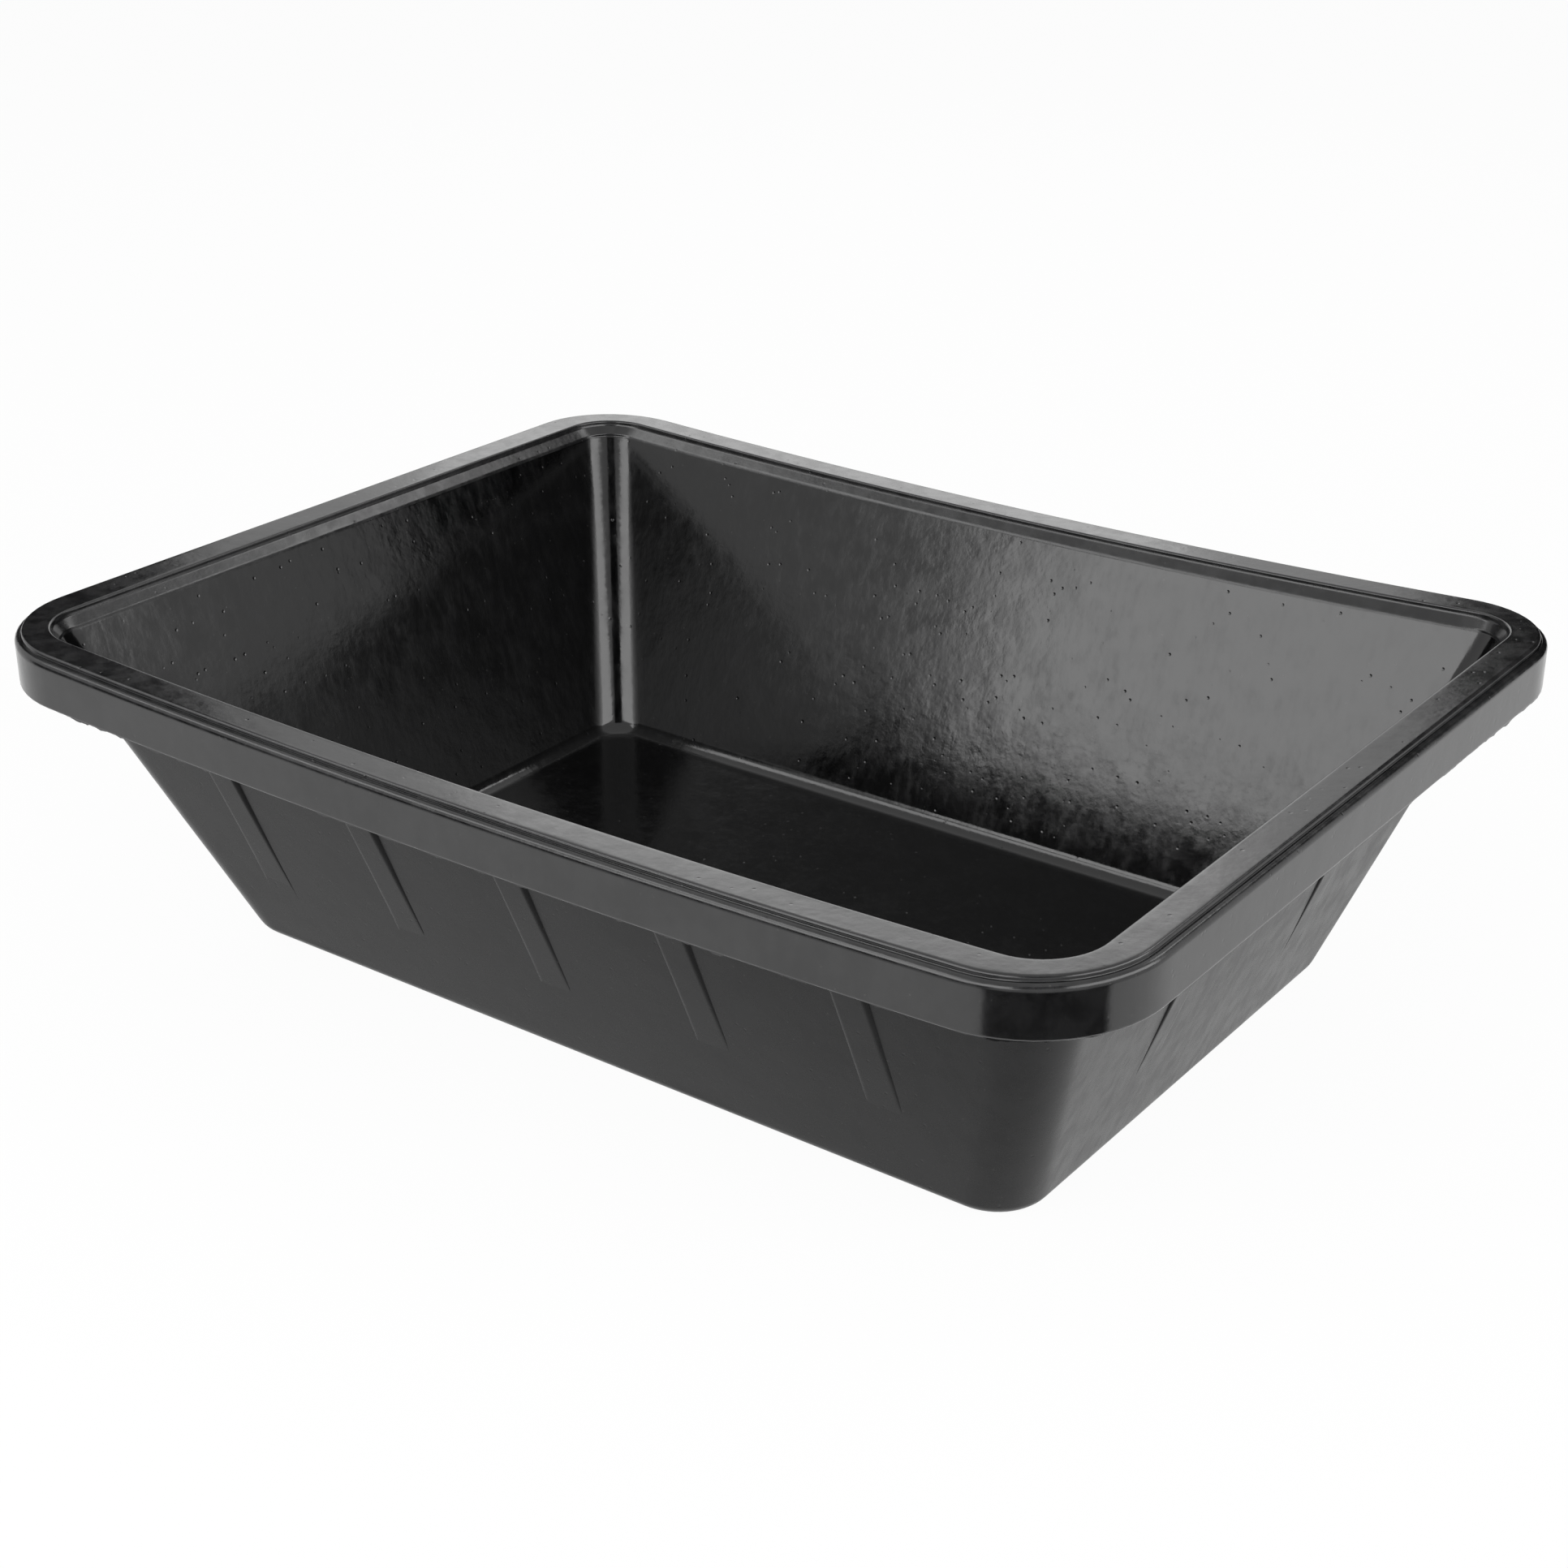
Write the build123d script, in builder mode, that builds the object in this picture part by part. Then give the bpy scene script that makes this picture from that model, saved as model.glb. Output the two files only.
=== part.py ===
"""Mortar mixing tub: a shallow rectangular basin with splayed walls, a flat rim turned down into a skirt,
and tapered stacking ribs under the rim.

The frame has its origin on the ground at the middle of the base, +X along the tub, +Y across it and +Z up.
The real tub is one moulding. It is written here as its floor, walls, corners, rim rails and ribs, which meet
face to face along the lines where the moulding changes direction, so that each one is a simple solid.
"""

from build123d import *
import os

# Driving dimensions, in millimetres
rim_length = 660.0  # outside of the skirt, along X
rim_width = 505.0  # outside of the skirt, along Y
rim_corner_radius = 62.0  # outside of the skirt, seen from above
tub_height = 184.0  # ground to the top of the rim

base_length = 492.0  # outside of the basin at the ground
base_width = 317.0
base_corner_radius = 30.0
base_edge_radius = 6.0  # round between the floor and the walls, outside
floor_edge_radius = 8.0  # round between the floor and the walls, inside

wall_thickness = 4.5  # measured level, from the inside face to the outside face
floor_thickness = 7.0
floor_margin = 12.0  # from the base's edge in to where the flat floor panel ends

rim_flat = 22.5  # outside of the skirt to the edge of the mouth
flange_thickness = 5.0
skirt_thickness = 5.0
skirt_depth = 27.5  # top of the rim to the skirt's lower edge
skirt_edge_radius = 1.2
shoulder_inset = 3.0  # the flat top stops this far inside the skirt's outer face
shoulder_drop = 3.0  # and the skirt's shoulder lies this far below the top
shoulder_radius = 2.2
flat_edge_radius = 1.5

mouth_drop = 3.0  # upright edge of the mouth, below the top of the rim
mouth_bevel = 5.0  # slanted ledge between that edge and the wall, level and upright

rib_width = 20.0
rib_height = 4.5  # how far a rib stands out from the wall where it meets the rim
rib_foot_height = 43.0  # a rib runs out into the wall at this height
long_side_ribs = 5
long_side_rib_pitch = 96.0
short_side_ribs = 2
short_side_rib_pitch = 150.0

# Which way each side of the tub faces
facings = {"front": (0, -1, 0), "rear": (0, 1, 0), "left": (-1, 0, 0), "right": (1, 0, 0)}

# Heights that follow from them
flange_underside = tub_height - flange_thickness
skirt_bottom = tub_height - skirt_depth
mouth_bottom = tub_height - mouth_drop
wall_top = mouth_bottom - mouth_bevel  # where the slanted ledge meets the inside of the wall

# Level distance from the skirt's outer face to the outer face of the wall, at wall_top
wall_inset = rim_flat + mouth_bevel - wall_thickness
wall_top_length = rim_length - 2 * wall_inset
wall_top_width = rim_width - 2 * wall_inset
wall_top_radius = rim_corner_radius - wall_inset


def rim_outline(inset):
    """Length, width and corner radius of the rim's outline, moved in by inset."""
    return rim_length - 2 * inset, rim_width - 2 * inset, rim_corner_radius - inset


def wall_outline(height, inset=0.0):
    """Length, width and corner radius of the basin's outside at a height, moved in by inset."""
    rise = height / wall_top
    length = base_length + (wall_top_length - base_length) * rise
    width = base_width + (wall_top_width - base_width) * rise
    radius = base_corner_radius + (wall_top_radius - base_corner_radius) * rise
    return length - 2 * inset, width - 2 * inset, radius - inset


def wall_reach(side, height):
    """How far the outside of a side's wall stands from the middle of the tub at a height."""
    length, width, radius = wall_outline(height)
    return (width if side in ("front", "rear") else length) / 2


def straight_half(height, across):
    """Half the straight stretch of a wall at a height: along Y if across is true, else along X."""
    length, width, radius = wall_outline(height)
    return (width if across else length) / 2 - radius


# What fills the tub: the space between the walls, the slanted ledge and the mouth
with BuildPart() as cavity:
    with BuildSketch(Plane.XY.offset(floor_thickness)):
        RectangleRounded(*wall_outline(floor_thickness, wall_thickness))
    with BuildSketch(Plane.XY.offset(wall_top)):
        RectangleRounded(*wall_outline(wall_top, wall_thickness))
    loft(ruled=True)
    fillet(cavity.faces().sort_by(Axis.Z)[0].edges(), floor_edge_radius)
    with BuildSketch(Plane.XY.offset(wall_top)):
        RectangleRounded(*rim_outline(rim_flat + mouth_bevel))
    with BuildSketch(Plane.XY.offset(mouth_bottom)):
        RectangleRounded(*rim_outline(rim_flat))
    loft(ruled=True)
    with BuildSketch(Plane.XY.offset(mouth_bottom)):
        RectangleRounded(*rim_outline(rim_flat))
    extrude(amount=mouth_drop)

# The whole basin, from which the floor, the walls and the corners are parted
with BuildPart() as basin:
    with BuildSketch(Plane.XY):
        RectangleRounded(*wall_outline(0))
    with BuildSketch(Plane.XY.offset(flange_underside)):
        RectangleRounded(*wall_outline(flange_underside))
    loft(ruled=True)
    fillet(basin.faces().sort_by(Axis.Z)[0].edges(), base_edge_radius)
    add(cavity.part, mode=Mode.SUBTRACT)

# The whole rim: flat flange, stepped shoulder and skirt, from which the rails and corners are parted
with BuildPart() as rim:
    with BuildSketch(Plane.XY.offset(skirt_bottom)):
        RectangleRounded(*rim_outline(0))
    extrude(amount=skirt_depth - shoulder_drop)
    fillet(rim.faces().sort_by(Axis.Z)[-1].edges(), shoulder_radius)
    with BuildSketch(Plane.XY.offset(mouth_bottom)):
        RectangleRounded(*rim_outline(shoulder_inset))
    extrude(amount=tub_height - mouth_bottom)
    fillet(rim.faces().sort_by(Axis.Z)[-1].edges(), flat_edge_radius)
    with BuildSketch(Plane.XY.offset(skirt_bottom)):
        RectangleRounded(*rim_outline(skirt_thickness))
    extrude(amount=skirt_depth - flange_thickness, mode=Mode.SUBTRACT)
    fillet(rim.faces().sort_by(Axis.Z)[0].edges(), skirt_edge_radius)
    add(cavity.part, mode=Mode.SUBTRACT)

# Region of the flat floor panel
with BuildPart() as floor_region:
    with BuildSketch(Plane.XY):
        RectangleRounded(*wall_outline(0, floor_margin))
    extrude(amount=floor_thickness)


def side_region(across):
    """Region between the corners of the basin, through both walls that face Y, or X if across is true."""
    low = straight_half(0, across)
    high = straight_half(flange_underside, across)
    reach = max(rim_length, rim_width)
    with BuildPart() as region:
        with BuildSketch(Plane.YZ if across else Plane.XZ):
            with BuildLine():
                Polyline((-low, 0), (low, 0), (high, flange_underside), (-high, flange_underside), close=True)
            make_face()
        extrude(amount=reach, both=True)
    return region.part


def rail_region(across):
    """Region between the corners of the rim, through both rails that lie along X, or Y if across is true."""
    straight = (rim_width if across else rim_length) - 2 * rim_corner_radius
    reach = 2 * max(rim_length, rim_width)
    with BuildPart() as region:
        with BuildSketch(Plane.XY):
            if across:
                Rectangle(reach, straight)
            else:
                Rectangle(straight, reach)
        extrude(amount=tub_height)
    return region.part


def parted(label, whole, regions, quarters):
    """The part of a whole that lies in every region given, and on the sides of the tub that quarters name."""
    with BuildPart() as piece:
        add(whole)
        for region in regions:
            add(region, mode=Mode.INTERSECT)
        for quarter in quarters:
            split(bisect_by=Plane((0, 0, 0), z_dir=facings[quarter]), keep=Keep.TOP)
    piece.part.label = label
    return piece.part


def without(whole, *regions):
    """A whole with regions taken out of it."""
    with BuildPart() as rest:
        add(whole)
        for region in regions:
            add(region, mode=Mode.SUBTRACT)
    return rest.part


def stacking_rib(label, side, middle):
    """One tapered rib on the wall of a side, with its middle that far along the wall."""
    facing = Vector(*facings[side])
    foot = wall_reach(side, rib_foot_height)
    head = wall_reach(side, flange_underside)
    along_wall = facing.cross(Vector(0, 0, 1))
    with BuildPart() as rib:
        with BuildSketch(Plane(along_wall * (middle - rib_width / 2), x_dir=facing, z_dir=along_wall)):
            with BuildLine():
                Polyline(
                    (foot, rib_foot_height),
                    (head, flange_underside),
                    (head + rib_height, flange_underside),
                    close=True,
                )
            make_face()
        extrude(amount=rib_width)
    rib.part.label = label
    return rib.part


with BuildPart() as floor_panel:
    add(basin.part)
    add(floor_region.part, mode=Mode.INTERSECT)
floor_panel.part.label = "floor_panel"
pieces = [floor_panel.part]

# The basin's walls and the rim's rails, and the corners that join them
basin_wall = without(basin.part, floor_region.part)
long_walls = side_region(across=False)
short_walls = side_region(across=True)
long_rails = rail_region(across=False)
short_rails = rail_region(across=True)
for side in facings:
    along_x = side in ("front", "rear")
    pieces.append(parted(f"{side}_wall", basin_wall, [long_walls if along_x else short_walls], [side]))
    pieces.append(parted(f"{side}_rim_rail", rim.part, [long_rails if along_x else short_rails], [side]))

wall_corners = without(basin_wall, long_walls, short_walls)
rim_corners = without(rim.part, long_rails, short_rails)
for long_side in ("front", "rear"):
    for short_side in ("left", "right"):
        pieces.append(parted(f"{long_side}_{short_side}_wall_corner", wall_corners, [], [long_side, short_side]))
        pieces.append(parted(f"{long_side}_{short_side}_rim_corner", rim_corners, [], [long_side, short_side]))

# The stacking ribs, numbered along each wall
for side in facings:
    along_x = side in ("front", "rear")
    count = long_side_ribs if along_x else short_side_ribs
    pitch = long_side_rib_pitch if along_x else short_side_rib_pitch
    for number in range(count):
        middle = (number - (count - 1) / 2) * pitch
        pieces.append(stacking_rib(f"{side}_stacking_rib_{number + 1}", side, middle))

os.makedirs("parts", exist_ok=True)
for piece in pieces:
    export_step(piece, f"parts/{piece.label}.step")
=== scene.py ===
"""Visual model of a mortar mixing tub: a black moulded basin, its stacking ribs and its moulding flash.

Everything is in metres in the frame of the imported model, with the ground at z = 0. The basin's section is a
list of rings, and Geometry Nodes sweep it round the tub. One shared node group lets every piece sag with the
rim.
"""

import logging
import math
from dataclasses import dataclass, field, fields
from enum import Enum, IntEnum
from typing import Callable

import bpy
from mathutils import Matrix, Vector


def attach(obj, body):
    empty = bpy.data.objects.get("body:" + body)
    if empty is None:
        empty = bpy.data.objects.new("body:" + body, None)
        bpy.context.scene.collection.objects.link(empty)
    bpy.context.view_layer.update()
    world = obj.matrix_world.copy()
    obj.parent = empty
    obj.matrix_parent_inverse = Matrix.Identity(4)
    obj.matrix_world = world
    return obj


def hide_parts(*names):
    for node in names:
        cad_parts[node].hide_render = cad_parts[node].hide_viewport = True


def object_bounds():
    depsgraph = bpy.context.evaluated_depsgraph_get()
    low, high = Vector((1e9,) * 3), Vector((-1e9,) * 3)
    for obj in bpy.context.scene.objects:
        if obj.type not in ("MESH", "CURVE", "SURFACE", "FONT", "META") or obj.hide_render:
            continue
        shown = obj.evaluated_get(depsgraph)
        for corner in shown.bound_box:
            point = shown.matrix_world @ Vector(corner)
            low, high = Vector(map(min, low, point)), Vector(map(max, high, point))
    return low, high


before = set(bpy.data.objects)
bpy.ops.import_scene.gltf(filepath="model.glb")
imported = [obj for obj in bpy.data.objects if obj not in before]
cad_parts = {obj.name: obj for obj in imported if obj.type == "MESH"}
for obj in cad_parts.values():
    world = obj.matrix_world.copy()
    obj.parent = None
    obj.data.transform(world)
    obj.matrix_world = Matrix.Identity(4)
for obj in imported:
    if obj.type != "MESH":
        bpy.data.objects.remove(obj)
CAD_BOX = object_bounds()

logging.basicConfig(level=logging.INFO, format="%(message)s")
log = logging.getLogger("tub")

MM = 0.001
BODY = "root"
Socket = bpy.types.NodeSocket
Sockets = bpy.types.bpy_prop_collection
Value = "Socket | float | int | tuple[float, float, float]"
Inputs = "dict[str | int, Value]"
Point = tuple[float, float]


class Finish(IntEnum):
    """The parts of the moulding's surface that look different. Their colours are also set lighter on the
    rim's top as painted light, and darker inside the basin as painted shade.
    """

    INSIDE = 0
    RIM = 1
    SKIRT = 2
    OUTSIDE = 3


class Side(Enum):
    """The four sides of the tub, by the way each one faces."""

    FRONT = (0, -1)
    REAR = (0, 1)
    LEFT = (-1, 0)
    RIGHT = (1, 0)

    @property
    def lies_along_x(self) -> bool:
        """Whether the side is one of the two long ones."""
        return self.value[0] == 0


class Patch:
    """A node tree being built, with short ways to add nodes and link them."""

    def __init__(self, tree: bpy.types.NodeTree) -> None:
        """Starts on an empty tree."""
        self.tree = tree
        tree.nodes.clear()

    def add(self, kind: str, inputs: "Inputs | None" = None, **settings: object) -> bpy.types.Node:
        """Adds a node.

        Args:
            kind: the node's Blender type.
            inputs: sockets to link or values to set, by socket name or number.
            settings: the node's own properties.

        Returns:
            The new node.
        """
        node = self.tree.nodes.new(kind)
        for name, value in settings.items():
            setattr(node, name, value)
        for key, value in (inputs or {}).items():
            self.feed(node.inputs[key], value)
        return node

    def feed(self, socket: Socket, value: "Value") -> None:
        """Links a socket to another, or sets its value.

        Args:
            socket: the input to fill.
            value: an output socket or a plain value.
        """
        if isinstance(value, bpy.types.NodeSocket):
            self.tree.links.new(value, socket)
        else:
            socket.default_value = value

    def get(self, kind: str, inputs: "Inputs | None" = None, **settings: object) -> Socket:
        """Adds a node and gives its first output. The arguments are those of add."""
        return self.add(kind, inputs, **settings).outputs[0]

    def math(self, operation: str, *values: "Value") -> Socket:
        """Adds a Math node with one to three values and gives its result."""
        return self.get("ShaderNodeMath", dict(enumerate(values)), operation=operation)

    def plus(self, first: "Value", second: "Value") -> Socket:
        """The sum of two values."""
        return self.math("ADD", first, second)

    def minus(self, first: "Value", second: "Value") -> Socket:
        """The first value less the second."""
        return self.math("SUBTRACT", first, second)

    def times(self, first: "Value", second: "Value") -> Socket:
        """The product of two values."""
        return self.math("MULTIPLY", first, second)

    def over(self, first: "Value", second: "Value") -> Socket:
        """The first value divided by the second."""
        return self.math("DIVIDE", first, second)

    def xyz(self, axes: "dict[str, Value]") -> Socket:
        """A vector from its X, Y and Z. An axis left out is 0."""
        return self.get("ShaderNodeCombineXYZ", axes)

    def split(self, vector: "Value") -> Sockets:
        """A vector's X, Y and Z."""
        return self.add("ShaderNodeSeparateXYZ", {0: vector}).outputs

    def here(self) -> Socket:
        """The position of the point that the nodes work on."""
        return self.get("GeometryNodeInputPosition")

    def read(self, name: str) -> Socket:
        """A number that each point carries under a name."""
        return self.get("GeometryNodeInputNamedAttribute", {"Name": name}, data_type="FLOAT")

    def keep(self, geometry: Socket, name: str, value: "Value") -> Socket:
        """Gives each point of a geometry a number under a name.

        Args:
            geometry: the geometry.
            name: the number's name.
            value: the number.

        Returns:
            The geometry's socket.
        """
        node = self.add("GeometryNodeStoreNamedAttribute", data_type="FLOAT", domain="POINT")
        for socket, given in (("Geometry", geometry), ("Name", name), ("Value", value)):
            self.feed(node.inputs[socket], given)
        return node.outputs[0]

    def ramp(self, value: "Value", low: "Value", high: "Value") -> Socket:
        """Maps a range of a value smoothly to 0 to 1."""
        inputs = {"Value": value, "From Min": low, "From Max": high}
        return self.get("ShaderNodeMapRange", inputs, interpolation_type="SMOOTHSTEP")


def start_tree(
    name: str, kind: str, inputs: dict[str, object], output: tuple[str, str]
) -> tuple[Patch, Sockets]:
    """Makes a node tree with its named inputs and its one output.

    Args:
        name: the tree's name.
        kind: GeometryNodeTree or ShaderNodeTree.
        inputs: each input's default number, or its kind where it has none, by name.
        output: the output's name and kind.

    Returns:
        The tree to build in, and its inputs' sockets.
    """
    tree = bpy.data.node_groups.new(name, kind)
    numbers = {int: "Int", float: "Float"}
    for socket_name, default in inputs.items():
        socket_kind = numbers.get(type(default), default)
        socket_type = f"NodeSocket{socket_kind}"
        socket = tree.interface.new_socket(socket_name, in_out="INPUT", socket_type=socket_type)
        if type(default) in numbers:
            socket.default_value = default
    tree.interface.new_socket(output[0], in_out="OUTPUT", socket_type=f"NodeSocket{output[1]}")
    patch = Patch(tree)
    return patch, patch.add("NodeGroupInput").outputs


def start_material(name: str) -> tuple[bpy.types.Material, Patch]:
    """Makes a material with an empty node tree.

    Args:
        name: the material's name.

    Returns:
        The material, and its tree to build in.
    """
    material = bpy.data.materials.new(name)
    material.use_nodes = True
    return material, Patch(material.node_tree)


# ----- Shape -----


@dataclass(frozen=True)
class Ring:
    """A rounded rectangle round the tub's axis, at one station of the section."""

    half_length: float
    half_width: float
    radius: float
    height: float
    finish: Finish
    waviness: float = 1.0

    def shrunk(self, share: float, waviness: float) -> "Ring":
        """The same ring at a share of its size, at the same height."""
        sizes = self.half_length * share, self.half_width * share, self.radius * share
        return Ring(*sizes, self.height, self.finish, waviness)


RING_NUMBERS = tuple(part.name for part in fields(Ring))


@dataclass(frozen=True)
class TubShape:
    """The tub's sizes, in metres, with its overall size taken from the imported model."""

    length: float
    width: float
    height: float
    corner_radius: float = 62 * MM
    base_length: float = 493 * MM
    base_width: float = 317 * MM
    wall_radius: float = 27.5 * MM
    corner_tightening: float = 1.45
    wall_tightening: float = 1.67
    wall: float = 4.5 * MM
    floor: float = 7 * MM
    rim_flat: float = 22.5 * MM
    bevel: float = 5 * MM
    mouth_drop: float = 3 * MM
    flange: float = 5 * MM
    skirt: float = 5 * MM
    skirt_depth: float = 27.5 * MM
    rib_foot: float = 43 * MM
    rib_width: float = 20 * MM
    rib_proud: float = 3.2 * MM
    sag: float = 8.4 * MM
    skin_margin: float = 0.2 * MM

    @classmethod
    def from_frame(cls) -> "TubShape":
        """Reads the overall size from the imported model."""
        low, high = (Vector(corner) for corner in CAD_BOX)
        return cls(*(high - low))

    @property
    def wall_top(self) -> float:
        """Height where the slanted ledge meets the inside of the wall."""
        return self.height - self.mouth_drop - self.bevel

    @property
    def flange_underside(self) -> float:
        """Height of the underside of the flat rim."""
        return self.height - self.flange

    @property
    def wall_inset(self) -> float:
        """Level distance from the skirt's face to the outside of the wall, at wall_top."""
        return self.rim_flat + self.bevel - self.wall

    def rim(self, inset: float, height: float, finish: Finish, waviness: float = 1.0) -> Ring:
        """A ring parallel to the skirt's face, and that far inside it."""
        return Ring(
            self.length / 2 - inset,
            self.width / 2 - inset,
            self.corner_radius - inset * self.corner_tightening,
            height,
            finish,
            waviness,
        )

    def rims(self, points: list[Point], finish: Finish, waviness: float) -> list[Ring]:
        """Rings parallel to the skirt's face, by inset and height."""
        return [self.rim(inset, height, finish, waviness) for inset, height in points]

    def basins(self, points: list[Point], finish: Finish, waviness: float) -> list[Ring]:
        """Rings parallel to the outside of the basin's wall, by depth and height."""
        return [self.basin(depth, height, finish, waviness) for depth, height in points]

    def basin(self, depth: float, height: float, finish: Finish, waviness: float = 1.0) -> Ring:
        """A ring parallel to the outside of the basin's wall.

        Args:
            depth: how far it lies inside the outside of the wall, measured level.
            height: its height.
            finish: its finish.
            waviness: how uneven it is, from 0 to 1.

        Returns:
            The ring.
        """
        rise, foot_x, foot_y = height / self.wall_top, self.base_length / 2, self.base_width / 2
        return Ring(
            foot_x + (self.length / 2 - self.wall_inset - foot_x) * rise - depth,
            foot_y + (self.width / 2 - self.wall_inset - foot_y) * rise - depth,
            self.wall_radius - depth * self.wall_tightening,
            height,
            finish,
            waviness,
        )

    def wall_reach(self, side: Side, height: float) -> float:
        """How far the outside of a side's wall stands from the tub's axis."""
        ring = self.basin(0, height, Finish.OUTSIDE)
        return ring.half_width if side.lies_along_x else ring.half_length


def arc(centre: Point, radius: float, start: float, end: float, steps: int) -> list[Point]:
    """Points along an arc of the section between two angles in degrees, both ends included."""
    angles = [math.radians(start + (end - start) * step / steps) for step in range(steps + 1)]
    return [(centre[0] + radius * math.cos(a), centre[1] + radius * math.sin(a)) for a in angles]


def spread(start: float, end: float, steps: int) -> list[float]:
    """Evenly spaced values between two others, both ends left out."""
    return [start + (end - start) * step / steps for step in range(1, steps)]


@dataclass
class SagNodes:
    """The node group that lets the rim sag between the corners of the long sides."""

    shape: TubShape

    def build(self) -> bpy.types.NodeTree:
        """Makes the group, or returns it if it is there already.

        Returns:
            The node group: a position and the sizes in, the sagged position out.
        """
        name = "Sagging rim"
        if name in bpy.data.node_groups:
            return bpy.data.node_groups[name]
        inputs: dict[str, object] = {
            "Position": "Vector",
            "Sag": self.shape.sag,
            "Half Length": self.shape.length / 2,
            "Height": self.shape.height,
        }
        patch, given = start_tree(name, "GeometryNodeTree", inputs, ("Position", "Vector"))
        parts = patch.split(given["Position"])
        along = patch.over(parts["X"], given["Half Length"])
        bow = patch.math("MAXIMUM", patch.minus(1.0, patch.times(along, along)), 0.0)
        share = patch.over(patch.times(given["Sag"], bow), given["Height"])
        lowered = patch.times(parts["Z"], patch.minus(1.0, share))
        sagged = patch.xyz({"X": parts["X"], "Y": parts["Y"], "Z": lowered})
        patch.add("NodeGroupOutput", {"Position": sagged})
        return patch.tree


def add_sag(patch: Patch, shape: TubShape, geometry: Socket, position: Socket) -> Socket:
    """Moves a geometry to a position and lets it sag with the rim.

    Args:
        patch: the tree being built.
        shape: the tub's shape.
        geometry: the geometry.
        position: where its points go before the sag.

    Returns:
        The moved geometry's socket.
    """
    group = patch.add("GeometryNodeGroup", node_tree=SagNodes(shape).build())
    patch.feed(group.inputs["Position"], position)
    return patch.get("GeometryNodeSetPosition", {"Geometry": geometry, "Position": group.outputs[0]})


def end_tree(patch: Patch, geometry: Socket, material: Socket, is_smooth: bool) -> bpy.types.NodeTree:
    """Ends a tree of one material: shades its geometry, makes it real and gives it the material.

    Args:
        patch: the tree being built.
        geometry: its geometry.
        material: its material.
        is_smooth: whether the geometry is shaded smooth.

    Returns:
        The finished tree.
    """
    shaded = patch.get("GeometryNodeSetShadeSmooth", {"Geometry": geometry, "Shade Smooth": is_smooth})
    real = patch.get("GeometryNodeRealizeInstances", {"Geometry": shaded})
    dressed = patch.get("GeometryNodeSetMaterial", {"Geometry": real, "Material": material})
    patch.add("NodeGroupOutput", {"Geometry": dressed})
    return patch.tree


def show(name: str, data: bpy.types.ID) -> bpy.types.Object:
    """Puts a new object in the scene.

    Args:
        name: the object's name.
        data: its mesh, lamp or camera.

    Returns:
        The object.
    """
    item = bpy.data.objects.new(name, data)
    bpy.context.scene.collection.objects.link(item)
    return item


def run_nodes(start: bpy.types.Mesh, tree: bpy.types.NodeTree, values: dict[str, object]) -> bpy.types.Mesh:
    """Runs a Geometry Nodes tree on a mesh and takes its result as a plain mesh.

    Args:
        start: the mesh that the tree starts from.
        tree: the tree.
        values: the modifier's inputs, by socket name.

    Returns:
        The finished mesh.
    """
    holder = show(start.name, start)
    modifier = holder.modifiers.new(tree.name, "NODES")
    modifier.node_group = tree
    sockets = {item.name: item.identifier for item in tree.interface.items_tree if item.in_out == "INPUT"}
    for name, value in values.items():
        modifier[sockets[name]] = value
    graph = bpy.context.evaluated_depsgraph_get()
    mesh = bpy.data.meshes.new_from_object(holder.evaluated_get(graph), depsgraph=graph)
    holder.modifiers.remove(modifier)
    bpy.data.objects.remove(holder, do_unlink=True)
    return mesh


def place(name: str, mesh: bpy.types.Mesh, replaced: list[str]) -> bpy.types.Object:
    """Puts a finished mesh in the scene as a piece of the tub.

    Args:
        name: the piece's name.
        mesh: its mesh, in place.
        replaced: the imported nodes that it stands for.

    Returns:
        The piece.
    """
    mesh.name = name
    piece = show(name, mesh)
    if replaced:
        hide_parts(*replaced)
    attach(piece, BODY)
    log.info("%s: %d faces, stands for %d nodes", name, len(mesh.polygons), len(replaced))
    return piece


# How much of the skin's unevenness each part of the moulding shows
LEDGE_WAVES = 0.3
EDGE_WAVES = 0.4
SKIRT_WAVES = 0.5
WALL_WAVES = 0.8
FLAT_WAVES = 0.9
# The skin's unevenness: how many waves lie in a metre, and the share of each kind
UNEVEN_WAVES = ((7.0, 1.0), (28.0, 0.22))


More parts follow.
